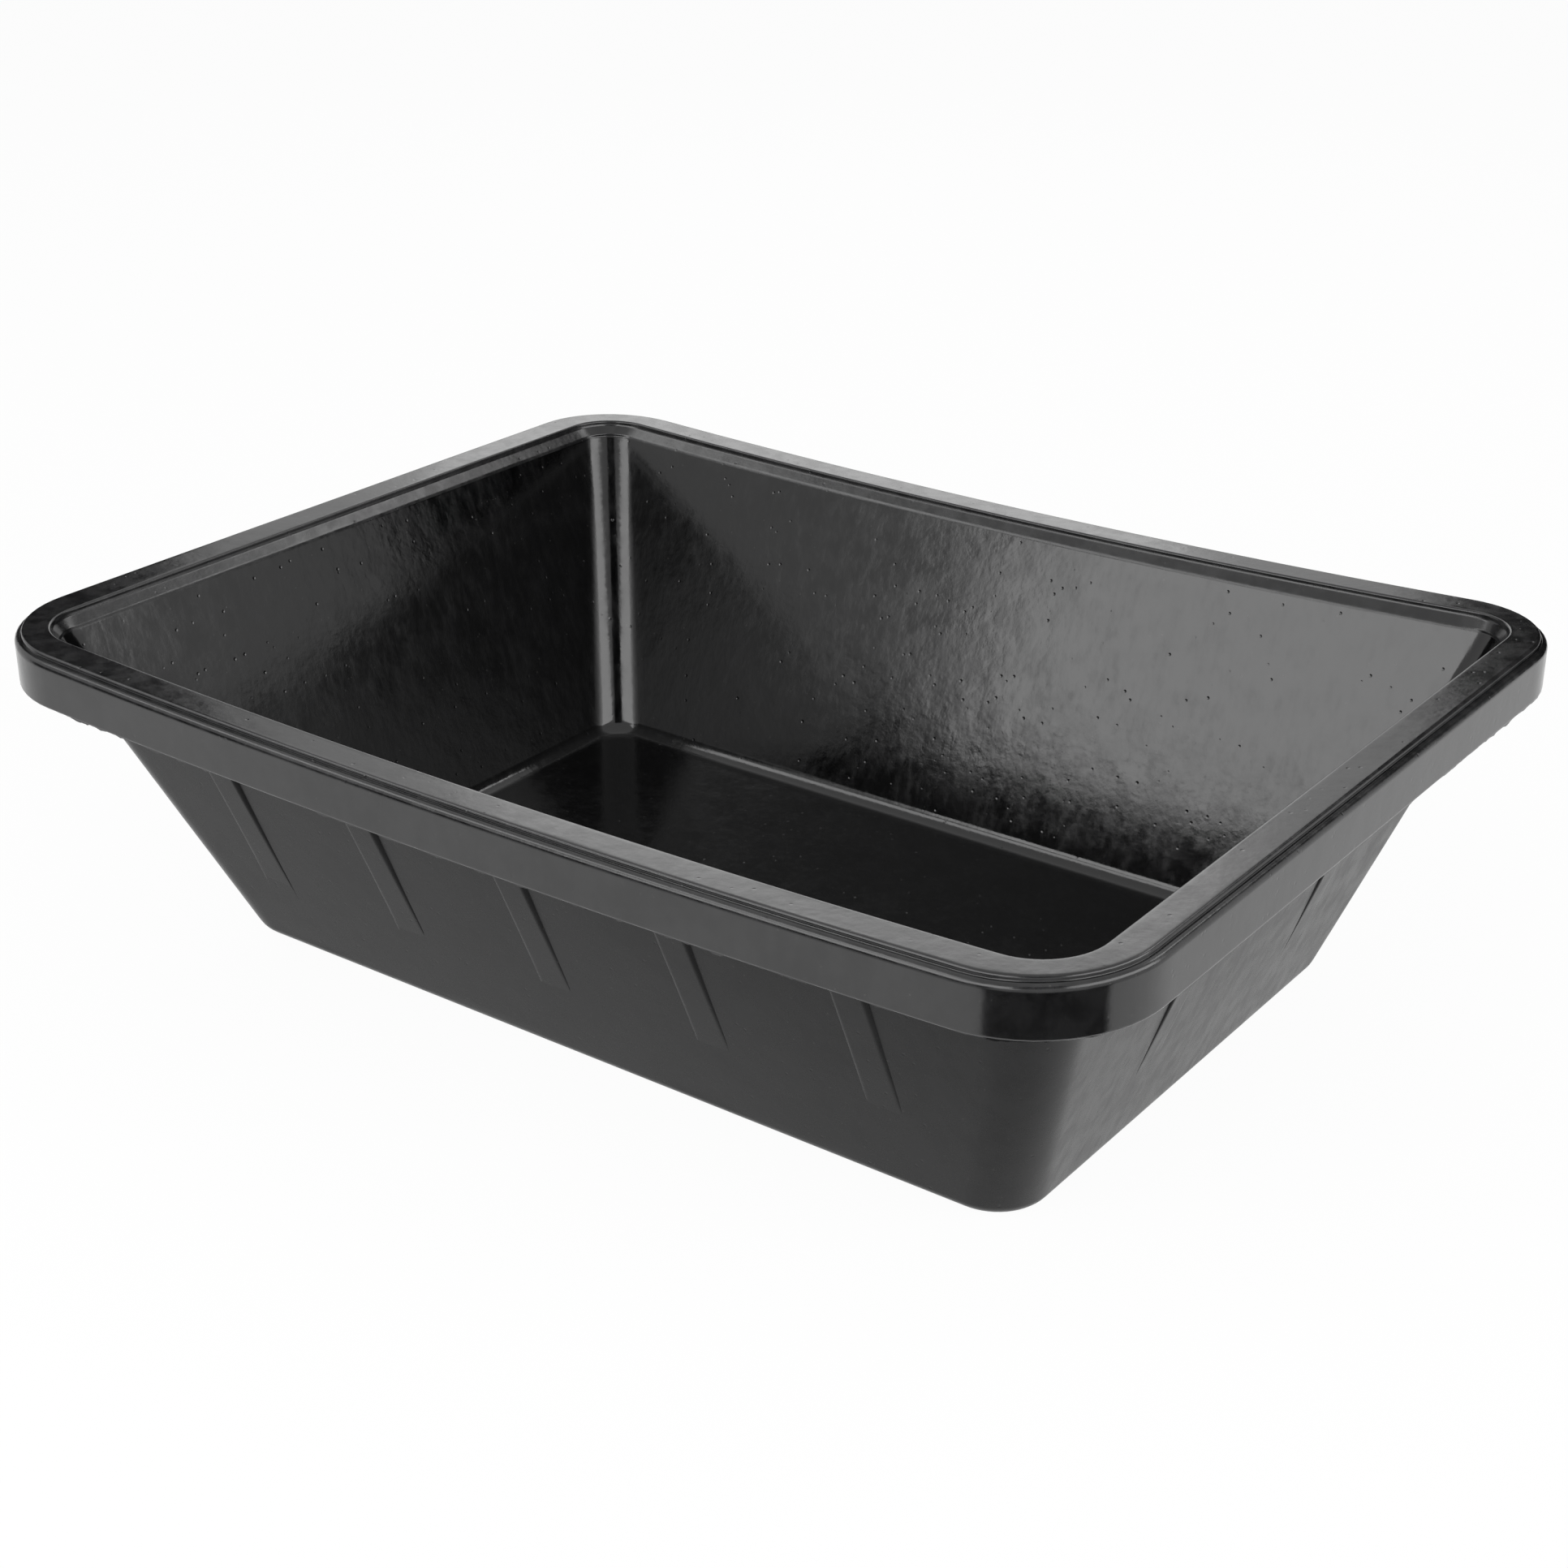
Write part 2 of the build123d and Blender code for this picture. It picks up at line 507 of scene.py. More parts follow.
@dataclass
class Moulding:
    """The basin and its rim: one closed skin, swept round the tub from its section."""

    shape: TubShape
    corner_steps: int = 14
    side_steps: int = 92
    inner_round: float = 6.5 * MM
    outer_round: float = 6 * MM
    slab_round: float = 1.6 * MM
    mouth_round: float = 1.3 * MM
    shoulder_inset: float = 4.4 * MM
    shoulder_drop: float = 2.6 * MM
    bead: float = 3.2 * MM
    support: float = 0.6 * MM
    skirt_round: float = 0.8 * MM
    underside_bend: float = 2 * MM
    unevenness: float = 0.5 * MM
    weld: float = 0.01 * MM
    hem: float = 1.1 * MM
    seed: int = 7

    def section(self) -> list[Ring]:
        """The rings of the section, from the middle of the floor's top to the middle of its underside."""
        return self._inside() + self._rim() + self._outside()

    def _inside(self) -> list[Ring]:
        """The floor's top, the round above it, the wall's inside and the slanted ledge.

        Returns:
            The rings.
        """
        s = self.shape
        edge = s.basin(s.wall + self.inner_round, s.floor, Finish.INSIDE)
        rings = [edge.shrunk(share, 1.0) for share in [0.0, *spread(0, 1, 14), 0.99]]
        centre = (s.wall + self.inner_round, s.floor + self.inner_round)
        rings += s.basins(arc(centre, self.inner_round, 270, 180, 9), Finish.INSIDE, 1.0)
        bottom, top = s.floor + self.inner_round, s.wall_top - 1.2 * MM
        rings += s.basins([(s.wall, h) for h in self.supported(bottom, top, 26)], Finish.INSIDE, 1.0)
        rings.append(s.basin(s.wall, top, Finish.INSIDE, EDGE_WAVES))
        rings.append(s.basin(s.wall - 0.25 * MM, s.wall_top - 0.5 * MM, Finish.RIM, LEDGE_WAVES))
        foot, head = s.rim_flat + s.bevel, s.wall_top + s.bevel
        # the slanted ledge, with a ring close to each of its edges
        ledge = [
            (foot - 0.4 * MM, s.wall_top + 0.1 * MM),
            (foot - 1.0 * MM, s.wall_top + 0.7 * MM),
            (s.rim_flat + 1.0 * MM, head - 1.0 * MM),
            (s.rim_flat + 0.5 * MM, head - 0.5 * MM),
        ]
        return rings + s.rims(ledge, Finish.RIM, LEDGE_WAVES)

    def supported(self, start: float, end: float, steps: int) -> list[float]:
        """Evenly spaced values between two others, and one more close to each, both ends left out."""
        close = math.copysign(self.support, end - start)
        return [start + close, *spread(start, end, steps), end - close]

    def _rim(self) -> list[Ring]:
        """The mouth's upright edge, the flat rim, the stepped shoulder, and the skirt down to its hem.

        Returns:
            The rings.
        """
        s = self.shape
        top, margin = s.height - 0.05 * MM, s.skin_margin
        rings = [s.rim(s.rim_flat + 0.05 * MM, s.wall_top + s.bevel + 0.1 * MM, Finish.RIM, LEDGE_WAVES)]
        centre = (s.rim_flat - self.mouth_round, top - self.mouth_round)
        rings += s.rims(arc(centre, self.mouth_round, 0, 90, 5), Finish.RIM, LEDGE_WAVES)
        slab_edge = self.shoulder_inset + self.slab_round
        flat_start = s.rim_flat - self.mouth_round
        flat = [(inset, top) for inset in self.supported(flat_start, slab_edge, 7)]
        rings += s.rims(flat, Finish.RIM, FLAT_WAVES)
        centre = (slab_edge, top - self.slab_round)
        rings += s.rims(arc(centre, self.slab_round, 90, 180, 5), Finish.RIM, SKIRT_WAVES)
        shoulder = s.height - self.shoulder_drop
        edge = self.shoulder_inset
        step = [(edge, shoulder - 0.35 * MM), (edge - 0.35 * MM, shoulder - 0.45 * MM)]
        centre = (margin + self.bead, shoulder - self.bead + 0.1 * MM)
        rings += s.rims(step + arc(centre, self.bead, 75, 180, 7), Finish.RIM, EDGE_WAVES)
        hem = s.height - s.skirt_depth
        face = [(margin, h) for h in self.supported(shoulder - self.bead, hem + self.hem, 6)]
        centre = (margin + self.hem, hem + self.hem)
        return rings + s.rims(face + arc(centre, self.hem, 180, 270, 4), Finish.SKIRT, SKIRT_WAVES)

    def _outside(self) -> list[Ring]:
        """The inside of the skirt, the rim's underside, the wall's outside and the floor's underside.

        Returns:
            The rings.
        """
        s = self.shape
        out, hem = Finish.OUTSIDE, s.height - s.skirt_depth
        small, bend = self.skirt_round, self.underside_bend
        top, foot = s.flange_underside - bend, self.outer_round
        channel = arc((s.skirt - small, hem + small), small, 270, 360, 3)
        channel += [(s.skirt, h) for h in self.supported(hem + small, top, 3)]
        channel += arc((s.skirt + bend, top), bend, 180, 90, 4)
        rings = s.rims(channel, out, EDGE_WAVES)
        rings += s.basins(arc((-bend, top), bend, 90, 0, 4), out, EDGE_WAVES)
        rings += s.basins([(0, h) for h in self.supported(top, foot, 28)], out, WALL_WAVES)
        rings += s.basins(arc((foot, foot), foot, 180, 270, 6), out, 0.0)
        edge = s.basin(foot, 0, out)
        return rings + [edge.shrunk(share, 0.0) for share in [0.99, *spread(1, 0, 6), 0.0]]

    def _section_mesh(self) -> bpy.types.Mesh:
        """Holds the section as one point for each ring, with the ring's sizes as named attributes.

        Returns:
            The mesh that the nodes start from.
        """
        rings = self.section()
        mesh = bpy.data.meshes.new("section")
        mesh.from_pydata([(0, 0, ring.height) for ring in rings], [], [])
        for name in RING_NUMBERS:
            layer = mesh.attributes.new(name, "FLOAT", "POINT")
            layer.data.foreach_set("value", [float(getattr(ring, name)) for ring in rings])
        return mesh

    def _tree(self, stations: int) -> bpy.types.NodeTree:
        """The nodes that sweep the section round the tub.

        Args:
            stations: how many rings the section has.

        Returns:
            The tree.
        """
        inputs: dict[str, object] = {
            "Geometry": "Geometry",
            "Stations": stations,
            "Corner Steps": self.corner_steps,
            "Side Steps": self.side_steps,
            "Unevenness": self.unevenness,
            "Seed": self.seed,
        }
        inputs |= {self._material_input(finish): "Material" for finish in Finish}
        patch, given = start_tree("Swept basin", "GeometryNodeTree", inputs, ("Geometry", "Geometry"))
        around, station = self._grid_numbers(patch, given)
        size = {name: self._station_value(patch, given["Geometry"], name, station) for name in RING_NUMBERS}
        position = self._ring_position(patch, given, around, size)
        grid_x = patch.plus(patch.times(self._quarter(patch, given), 4), 1)
        grid = patch.add("GeometryNodeMeshGrid", {"Vertices X": grid_x, "Vertices Y": given["Stations"]})
        kept = patch.keep(grid.outputs["Mesh"], "finish", size["finish"])
        kept = patch.keep(kept, "waviness", size["waviness"])
        formed = patch.get("GeometryNodeSetPosition", {"Geometry": kept, "Position": position})
        closed = patch.get("GeometryNodeMergeByDistance", {"Geometry": formed, "Distance": self.weld})
        outward = patch.get("GeometryNodeFlipFaces", {"Mesh": closed})
        uneven = self._unevenness(patch, given, outward)
        sagged = add_sag(patch, self.shape, uneven, patch.here())
        smooth = patch.get("GeometryNodeSetShadeSmooth", {"Geometry": sagged})
        real = patch.get("GeometryNodeRealizeInstances", {"Geometry": smooth})
        kind = patch.read("finish")
        for finish in Finish:
            chosen = patch.math("COMPARE", kind, float(finish), 0.5)
            material = given[self._material_input(finish)]
            dressed = {"Geometry": real, "Selection": chosen, "Material": material}
            real = patch.get("GeometryNodeSetMaterial", dressed)
        patch.add("NodeGroupOutput", {"Geometry": real})
        return patch.tree

    @staticmethod
    def _material_input(finish: Finish) -> str:
        """The name of the tree's input for a finish's material."""
        return f"Material {finish.name.title()}"

    @staticmethod
    def _quarter(patch: Patch, given: Sockets) -> Socket:
        """How many steps one corner and the side after it take."""
        return patch.plus(given["Corner Steps"], given["Side Steps"])

    @staticmethod
    def _grid_numbers(patch: Patch, given: Sockets) -> tuple[Socket, Socket]:
        """The step round the tub and the station of the section that each grid point stands for.

        Args:
            patch: the tree being built.
            given: the tree's inputs.

        Returns:
            The step and the station.
        """
        index = patch.get("GeometryNodeInputIndex")
        around = patch.math("FLOOR", patch.over(patch.plus(index, 0.5), given["Stations"]))
        station = patch.minus(index, patch.times(around, given["Stations"]))
        return around, patch.math("ROUND", station)

    @staticmethod
    def _station_value(patch: Patch, section: Socket, name: str, station: Socket) -> Socket:
        """Reads one of the section's attributes at a station."""
        inputs = {"Geometry": section, "Value": patch.read(name), "Index": station}
        return patch.get("GeometryNodeSampleIndex", inputs, data_type="FLOAT", domain="POINT")

    def _ring_position(self, patch: Patch, given: Sockets, around: Socket, size: dict[str, Socket]) -> Socket:
        """Where a point of a ring lies: on a corner's arc, or between that arc's end and the next one.

        Args:
            patch: the tree being built.
            given: the tree's inputs.
            around: the point's step round the tub.
            size: the ring's sizes.

        Returns:
            The position's socket.
        """
        quarter = self._quarter(patch, given)
        corner = patch.math("FLOOR", patch.over(patch.plus(around, 0.5), quarter))
        step = patch.minus(around, patch.times(corner, quarter))
        bent = given["Corner Steps"]
        turned = patch.over(patch.math("MINIMUM", step, bent), bent)
        passed = patch.minus(step, bent)
        gone = patch.over(patch.math("MAXIMUM", passed, 0.0), given["Side Steps"])
        following = patch.plus(corner, 1.0)
        here = self._corner_point(patch, corner, turned, size)
        ahead = self._corner_point(patch, following, 0.0, size)
        mix = patch.add("ShaderNodeMix", {"Factor": gone, 4: here, 5: ahead}, data_type="VECTOR")
        return mix.outputs[1]

    @staticmethod
    def _corner_point(patch: Patch, corner: Socket, turned: "Value", size: dict[str, Socket]) -> Socket:
        """A point on a corner's arc.

        Args:
            patch: the tree being built.
            corner: the corner's number, counted from the rear right one.
            turned: how much of the corner's arc is behind the point, from 0 to 1.
            size: the ring's sizes.

        Returns:
            The position's socket.
        """
        right_angle = math.pi / 2
        angle = patch.times(patch.plus(corner, turned), right_angle)
        middle = patch.times(patch.plus(corner, 0.5), right_angle)
        axes = []
        for function, half in (("COSINE", "half_length"), ("SINE", "half_width")):
            side = patch.math("SIGN", patch.math(function, middle))
            centre = patch.times(side, patch.minus(size[half], size["radius"]))
            bend = patch.times(size["radius"], patch.math(function, angle))
            axes.append(patch.plus(centre, bend))
        return patch.xyz({"X": axes[0], "Y": axes[1], "Z": size["height"]})

    @staticmethod
    def _unevenness(patch: Patch, given: Sockets, geometry: Socket) -> Socket:
        """Makes the skin a little uneven, as a cooled moulding is.

        Args:
            patch: the tree being built.
            given: the tree's inputs.
            geometry: the even skin.

        Returns:
            The uneven skin's socket.
        """
        total: "Value" = 0.0
        for scale, weight in UNEVEN_WAVES:
            inputs = {"W": given["Seed"], "Scale": scale, "Detail": 2.0, "Roughness": 0.45}
            noise = patch.get("ShaderNodeTexNoise", inputs, noise_dimensions="4D")
            total = patch.plus(total, patch.times(patch.minus(noise, 0.5), weight))
        amount = patch.times(patch.times(total, given["Unevenness"]), patch.read("waviness"))
        normal = patch.get("GeometryNodeInputNormal")
        offset = patch.get("ShaderNodeVectorMath", {0: normal, "Scale": amount}, operation="SCALE")
        return patch.get("GeometryNodeSetPosition", {"Geometry": geometry, "Offset": offset})

    def build(self, finishes: "dict[Finish, bpy.types.Material]") -> bpy.types.Object:
        """Makes the piece.

        Args:
            finishes: the material of each finish.

        Returns:
            The piece.
        """
        section = self._section_mesh()
        tree = self._tree(len(section.vertices))
        values: dict[str, object] = {self._material_input(finish): finishes[finish] for finish in Finish}
        mesh = run_nodes(section, tree, values)
        replaced = [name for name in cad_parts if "_rib_" not in name]
        return place("moulded_basin", mesh, replaced)


# How many ribs a side has, and how far apart they are
LONG_SIDE_RIBS = (5, 96 * MM)
SHORT_SIDE_RIBS = (2, 150 * MM)


@dataclass
class StackingRibs:
    """A row of tapered ribs under the rim, on the outside of one wall."""

    shape: TubShape
    side: Side
    count: int
    pitch: float
    sunk: float = 1.0 * MM
    buried_head: float = 0.5 * MM
    buried_foot: float = 0.08  # share of the rib's height above its foot
    edge_round: float = 1.6 * MM
    edge_fullness: float = 0.6

    def _tree(self) -> bpy.types.NodeTree:
        """The nodes that make one rib, set it out along the wall and let it sag with the rim.

        Returns:
            The tree.
        """
        s = self.shape
        facing_x, facing_y = self.side.value
        inputs: dict[str, object] = {
            "Geometry": "Geometry",
            "Count": self.count,
            "Pitch": self.pitch,
            "Width": s.rib_width,
            "Proud": s.rib_proud,
            "Foot": s.rib_foot,
            "Head": s.flange_underside + self.buried_head,
            "Material": "Material",
        }
        name = f"Ribs {self.side.name.lower()}"
        patch, given = start_tree(name, "GeometryNodeTree", inputs, ("Geometry", "Geometry"))
        cells = {"Size": (1.0, 1.0, 1.0), "Vertices X": 21, "Vertices Y": 2, "Vertices Z": 40}
        block = patch.add("GeometryNodeMeshCube", cells).outputs["Mesh"]
        first = patch.times(patch.minus(given["Count"], 1), -0.5)
        row_inputs = {
            "Count": given["Count"],
            "Start Location": patch.xyz({"X": patch.times(first, given["Pitch"])}),
            "Offset": patch.xyz({"X": given["Pitch"]}),
        }
        line = patch.get("GeometryNodeMeshLine", row_inputs)
        shaped = self._one_rib(patch, given, block)
        row = patch.get("GeometryNodeInstanceOnPoints", {"Points": line, "Instance": shaped})
        real = patch.get("GeometryNodeRealizeInstances", {"Geometry": row})
        here = patch.split(patch.here())
        turned = patch.xyz(
            {
                "X": patch.minus(patch.times(here["X"], -facing_y), patch.times(here["Y"], -facing_x)),
                "Y": patch.plus(patch.times(here["X"], facing_x), patch.times(here["Y"], facing_y)),
                "Z": here["Z"],
            }
        )
        outward = patch.get("GeometryNodeFlipFaces", {"Mesh": real})
        return end_tree(patch, add_sag(patch, s, outward, turned), given["Material"], True)

    def _one_rib(self, patch: Patch, given: Sockets, block: Socket) -> Socket:
        """Shapes a block into a rib: X along the wall, Y out of it and Z up.

        Args:
            patch: the tree being built.
            given: the tree's inputs.
            block: a unit block about the origin.

        Returns:
            The rib's socket.
        """
        s = self.shape
        low, high = s.wall_reach(self.side, 0.0), s.wall_reach(self.side, s.wall_top)
        at = patch.split(patch.here())
        upward = patch.plus(at["Z"], 0.5)
        length = patch.minus(given["Head"], given["Foot"])
        height = patch.plus(given["Foot"], patch.times(upward, length))
        wall = patch.plus(low, patch.times(height, (high - low) / s.wall_top))
        inward = patch.minus(0.5, patch.math("ABSOLUTE", at["X"]))
        flank = patch.times(inward, given["Width"])
        crown = patch.math("POWER", patch.ramp(flank, 0.0, self.edge_round), self.edge_fullness)
        emerging = {"Value": upward, "To Min": -self.buried_foot, "To Max": 1.0}
        rising = patch.get("ShaderNodeMapRange", emerging)
        proud = patch.times(patch.times(given["Proud"], rising), crown)
        outer = patch.plus(at["Y"], 0.5)
        reach = patch.plus(patch.minus(wall, self.sunk), patch.times(outer, patch.plus(proud, self.sunk)))
        across = patch.times(at["X"], given["Width"])
        position = patch.xyz({"X": across, "Y": reach, "Z": height})
        return patch.get("GeometryNodeSetPosition", {"Geometry": block, "Position": position})

    def build(self, material: bpy.types.Material) -> bpy.types.Object:
        """Makes the piece.

        Args:
            material: its material.

        Returns:
            The piece.
        """
        mesh = run_nodes(bpy.data.meshes.new("rib_row"), self._tree(), {"Material": material})
        side = self.side.name.lower()
        replaced = [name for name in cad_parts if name.startswith(f"{side}_stacking_rib_")]
        return place(f"{side}_stacking_ribs", mesh, replaced)


# Where the flash hangs, how it is torn and its fine teeth: waves in a metre, detail, and offset from the seed
FLASH_NOISES = ((9.0, 1.0, 0.0), (75.0, 4.0, 5.0), (330.0, 2.0, 9.0))


@dataclass
class MouldingFlash:
    """The thin ragged skin that the mould's joint leaves along the skirt's hem."""

    shape: TubShape
    inset: float = 0.9 * MM
    thickness: float = 0.5 * MM
    sunk: float = 0.5 * MM
    step: float = 1.1 * MM
    depth: float = 1.3 * MM
    share: float = 0.7
    seed: int = 3

    def _tree(self) -> bpy.types.NodeTree:
        """The nodes that lay a ribbon along the hem and tear its lower edge.

        Returns:
            The tree.
        """
        s = self.shape
        inputs: dict[str, object] = {
            "Geometry": "Geometry",
            "Length": s.length - 2 * self.inset,
            "Width": s.width - 2 * self.inset,
            "Corner Radius": s.corner_radius - self.inset,
            "Hem Height": s.height - s.skirt_depth,
            "Thickness": self.thickness,
            "Depth": self.depth,
            "Share": self.share,
            "Seed": self.seed,
            "Material": "Material",
        }
        patch, given = start_tree("Moulding flash", "GeometryNodeTree", inputs, ("Geometry", "Geometry"))
        box = "GeometryNodeCurvePrimitiveQuadrilateral"
        outline = patch.get(box, {"Width": given["Length"], "Height": given["Width"]})
        bends = {"Curve": outline, "Count": 24, "Radius": given["Corner Radius"]}
        rounded = patch.get("GeometryNodeFilletCurve", bends, mode="POLY")
        fine = patch.get("GeometryNodeResampleCurve", {"Curve": rounded, "Length": self.step}, mode="LENGTH")
        ribbon = patch.get(box, {"Width": given["Thickness"], "Height": given["Thickness"]})
        swept = patch.get("GeometryNodeCurveToMesh", {"Curve": fine, "Profile Curve": ribbon})
        parts = patch.split(patch.here())
        lower = patch.math("LESS_THAN", parts["Z"], 0.0)
        hang = patch.times(self._torn(patch, given, parts), given["Depth"])
        height = patch.minus(patch.plus(given["Hem Height"], self.sunk), patch.times(hang, lower))
        level = patch.xyz({"X": parts["X"], "Y": parts["Y"], "Z": patch.plus(height, parts["Z"])})
        return end_tree(patch, add_sag(patch, s, swept, level), given["Material"], False)

    @staticmethod
    def _torn(patch: Patch, given: Sockets, parts: Sockets) -> Socket:
        """How far the flash hangs at each point, from 0 to 1: in patches, and ragged within them.

        Args:
            patch: the tree being built.
            given: the tree's inputs.
            parts: the position's X, Y and Z.

        Returns:
            The share's socket.
        """
        flat = patch.xyz({"X": parts["X"], "Y": parts["Y"]})
        noises = []
        for scale, detail, offset in FLASH_NOISES:
            seed = patch.plus(given["Seed"], offset)
            inputs = {"Vector": flat, "W": seed, "Scale": scale, "Detail": detail, "Roughness": 0.7}
            noises.append(patch.get("ShaderNodeTexNoise", inputs, noise_dimensions="4D"))
        where, torn, teeth = noises
        start = patch.minus(0.8, patch.times(given["Share"], 0.6))
        patches = patch.ramp(where, start, patch.plus(start, 0.09))
        ragged = patch.plus(patch.ramp(torn, 0.42, 0.72), patch.times(teeth, 0.25))
        return patch.times(patches, ragged)

    def build(self, material: bpy.types.Material) -> bpy.types.Object:
        """Makes the piece."""
        mesh = run_nodes(bpy.data.meshes.new("flash"), self._tree(), {"Material": material})
        return place("moulding_flash", mesh, [])


# ----- Finish -----


class PlasticEffects:
    """The shared shader groups of the moulded plastic, each built once."""

    @staticmethod
    def _shared(
        name: str, numbers: dict[str, float], draw: Callable[[Patch, Sockets], Socket]
    ) -> bpy.types.NodeTree:
        """Makes a group with a Vector and numbers in and a Mask out, or returns it if it is there already.

        Args:
            name: the group's name.
            numbers: each number's default, by name.
            draw: adds the nodes between the inputs and the mask.

        Returns:
            The group.
        """
        if name in bpy.data.node_groups:
            return bpy.data.node_groups[name]
        patch, given = start_tree(name, "ShaderNodeTree", {"Vector": "Vector", **numbers}, ("Mask", "Float"))
        patch.add("NodeGroupOutput", {"Mask": draw(patch, given)})
        return patch.tree

    def mottle(self) -> bpy.types.NodeTree:
        """Soft blotches, where the melt cooled against the mould at different rates.

        Returns:
            The group: Vector, Scale and Contrast in, Mask out.
        """

        def draw(patch: Patch, given: Sockets) -> Socket:
            """Blotches, with more bare skin between them at a higher contrast."""
            noise = {"Vector": given["Vector"], "Scale": given["Scale"], "Detail": 5.0, "Roughness": 0.62}
            half = patch.times(given["Contrast"], 0.5)
            return patch.ramp(patch.get("ShaderNodeTexNoise", noise), half, patch.minus(1.0, half))

        return self._shared("Mottle", {"Scale": 60.0, "Contrast": 0.5}, draw)

    def pits(self) -> bpy.types.NodeTree:
        """Scattered pinholes and specks in the skin.

        Returns:
            The group: Vector, Scale, Share and Size in, Mask out.
        """

        def draw(patch: Patch, given: Sockets) -> Socket:
            """A round spot in a share of the cells."""
            cells = patch.add("ShaderNodeTexVoronoi", {"Vector": given["Vector"], "Scale": given["Scale"]})
            red = patch.get("ShaderNodeSeparateColor", {0: cells.outputs["Color"]})
            chosen = patch.math("LESS_THAN", red, given["Share"])
            spot = patch.minus(1.0, patch.ramp(cells.outputs["Distance"], 0.0, given["Size"]))
            return patch.times(chosen, spot)

        return self._shared("Pits", {"Scale": 160.0, "Share": 0.3, "Size": 0.2}, draw)

    def streaks(self) -> bpy.types.NodeTree:
        """Faint drag lines that run up and down the walls, from when the tub left its mould.

        Returns:
            The group: Vector, Fineness and Stretch in, Mask out.
        """

        def draw(patch: Patch, given: Sockets) -> Socket:
            """Noise drawn out upright."""
            scale = patch.xyz({"X": 1.0, "Y": 1.0, "Z": patch.over(1.0, given["Stretch"])})
            drawn = patch.get("ShaderNodeVectorMath", {0: given["Vector"], 1: scale}, operation="MULTIPLY")
            noise = {"Vector": drawn, "Scale": given["Fineness"], "Detail": 3.0, "Roughness": 0.55}
            return patch.ramp(patch.get("ShaderNodeTexNoise", noise), 0.42, 0.68)

        return self._shared("Drag streaks", {"Fineness": 220.0, "Stretch": 12.0}, draw)


# The skin's grain: how many grains lie in a metre, and each kind's share of the finish's grain depth
GRAIN_LAYERS = ((1100.0, 0.15), (330.0, 1.0), (70.0, 4.0))
PITS = {"Scale": 240.0, "Share": 0.09, "Size": 0.28}
SPECKS = {"Scale": 420.0, "Share": 0.04, "Size": 0.3}
SPECK_COLOUR = (0.2, 0.2, 0.19)
SPECK_STRENGTH = 0.12
TONE_SHARE = 0.4
SCUFF_RELIEF = 0.3
COAT_ROUGHNESS = 0.12
BUMP_STRENGTH = 0.6


@dataclass(frozen=True)
class MouldedBlack:
    """Black moulded plastic: its tone, its gloss and how marked its skin is."""

    name: str
    dark: tuple[float, float, float]
    pale: tuple[float, float, float]
    smooth: float
    rough: float
    coat: float
    shine: float
    mottle_scale: float
    streak_share: float
    pit_depth: float
    grain_depth: float

    def build(self, effects: PlasticEffects) -> bpy.types.Material:
        """Makes the material.

        Args:
            effects: the shared shader groups.

        Returns:
            The material.
        """
        material, patch = start_material(self.name)
        where = patch.add("ShaderNodeTexCoord").outputs["Object"]
        broad_scale = self.mottle_scale * 0.2
        broad = self._place(patch, effects.mottle(), Vector=where, Scale=broad_scale, Contrast=0.7)
        mottle = self._place(patch, effects.mottle(), Vector=where, Scale=self.mottle_scale, Contrast=0.75)
        streaks = self._place(patch, effects.streaks(), Vector=where)
        pits = self._place(patch, effects.pits(), Vector=where, **PITS)
        specks = self._place(patch, effects.pits(), Vector=where, **SPECKS)
        scuff = patch.times(streaks, self.streak_share)
        tone = patch.times(patch.plus(patch.plus(mottle, broad), scuff), TONE_SHARE)
        plain = self._mixed(patch, tone, (*self.dark, 1), (*self.pale, 1))
        colour = self._mixed(patch, patch.times(specks, SPECK_STRENGTH), plain, (*SPECK_COLOUR, 1))
        grit = patch.plus(patch.times(mottle, 0.5), patch.times(scuff, 0.5))
        gloss = {"Value": grit, "To Min": self.smooth, "To Max": self.rough}
        relief = patch.times(pits, -self.pit_depth)
        for scale, share in GRAIN_LAYERS:
            noise = {"Vector": where, "Scale": scale, "Detail": 2.0, "Roughness": 0.5}
            grain = patch.times(patch.get("ShaderNodeTexNoise", noise), self.grain_depth * share)
            relief = patch.plus(relief, grain)
        relief = patch.plus(relief, patch.times(scuff, self.grain_depth * SCUFF_RELIEF))
        bump = patch.get("ShaderNodeBump", {"Height": relief, "Strength": BUMP_STRENGTH, "Distance": 1.0})
        surface = patch.add(
            "ShaderNodeBsdfPrincipled",
            {
                "Base Color": colour,
                "Roughness": patch.get("ShaderNodeMapRange", gloss),
                "Normal": bump,
                "Coat Weight": self.coat,
                "Coat Roughness": COAT_ROUGHNESS,
                "Specular IOR Level": self.shine,
            },
        )
        patch.add("ShaderNodeOutputMaterial", {"Surface": surface.outputs[0]})
        return material

    @staticmethod
    def _mixed(patch: Patch, factor: Socket, first: "Value", second: "Value") -> Socket:
        """Mixes two colours, with the second one's share as the factor."""
        colours = {"Factor": factor, 6: first, 7: second}
        return patch.add("ShaderNodeMix", colours, data_type="RGBA").outputs[2]

    @staticmethod
    def _place(patch: Patch, group: bpy.types.NodeTree, **inputs: "Value") -> Socket:
        """Puts a shared group in the material and gives its mask.

        Args:
            patch: the material's tree.
            group: the group.
            inputs: its inputs, by name.

        Returns:
            Its mask's socket.
        """
        node = patch.add("ShaderNodeGroup", node_tree=group)
        for name, value in inputs.items():
            patch.feed(node.inputs[name], value)
        return node.outputs["Mask"]
